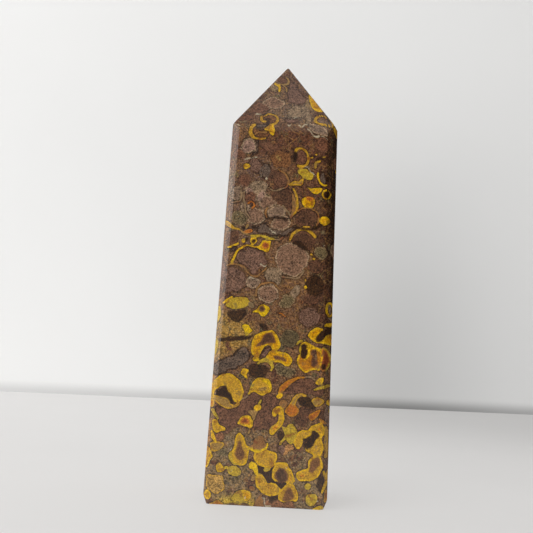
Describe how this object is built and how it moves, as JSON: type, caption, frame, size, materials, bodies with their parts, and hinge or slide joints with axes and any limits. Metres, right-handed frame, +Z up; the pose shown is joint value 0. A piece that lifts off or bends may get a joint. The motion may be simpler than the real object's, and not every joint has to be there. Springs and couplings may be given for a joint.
{
  "type": "fruit jasper tower",
  "caption": "Polished tapering square stone tower with broken edges and a four-sided point, standing on its flat base.",
  "frame": {"origin": "middle of the flat base that the tower stands on", "axes": "+Z up along the tower to its point, -Y out of the front side, +X to the right of the front side"},
  "size_m": [0.027, 0.027, 0.0997],
  "materials": {
    "fruit_jasper": "gloss"
  },
  "bodies": {
    "root": {"jasper_tower": "fruit_jasper"}
  },
  "joints": []
}
